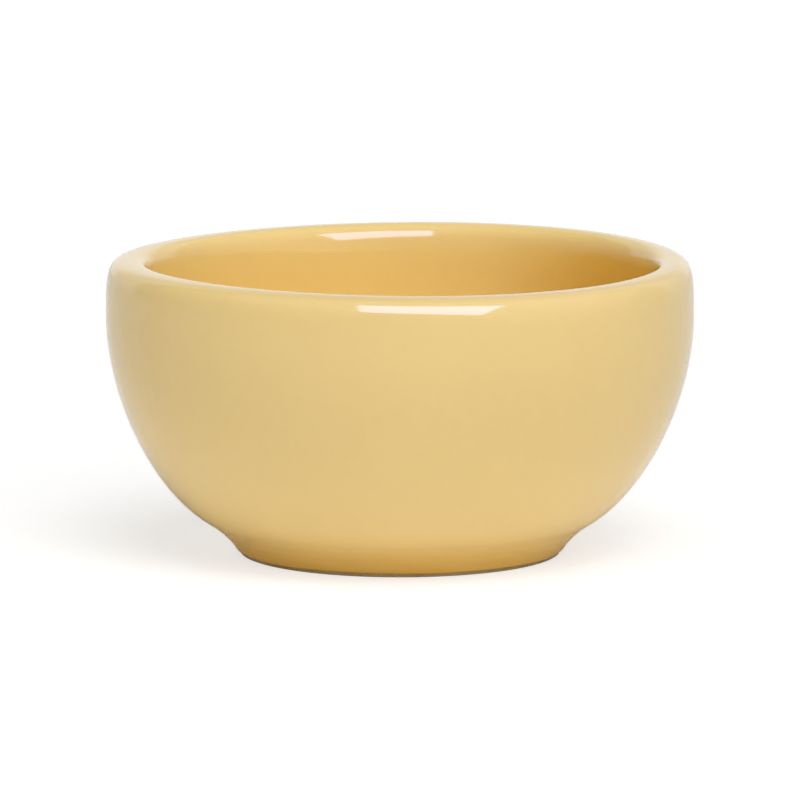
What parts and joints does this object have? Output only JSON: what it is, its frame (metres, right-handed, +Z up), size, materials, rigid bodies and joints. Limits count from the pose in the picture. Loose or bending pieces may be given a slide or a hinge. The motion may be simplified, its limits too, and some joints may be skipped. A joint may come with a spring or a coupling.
{
  "type": "nut bowl",
  "caption": "Small round thick-walled glazed stoneware bowl with a rolled-in rim and a short flared foot, for nuts and snacks.",
  "frame": {"origin": "centre of the foot's standing ring, on the table", "axes": "+Z up along the bowl's axis, +Y away from the picture's viewer, +X to the viewer's right"},
  "size_m": [0.12, 0.12, 0.0604],
  "materials": {
    "fired_clay": "bare fired buff stoneware, matt and slightly sandy",
    "butter_glaze": "glossy butter yellow glaze",
    "recess_glaze": "glossy butter yellow glaze, a little thinner"
  },
  "bodies": {
    "root": {"clay_body": "fired_clay", "glaze_coat": "butter_glaze", "foot_recess_glaze": "recess_glaze"}
  },
  "joints": []
}
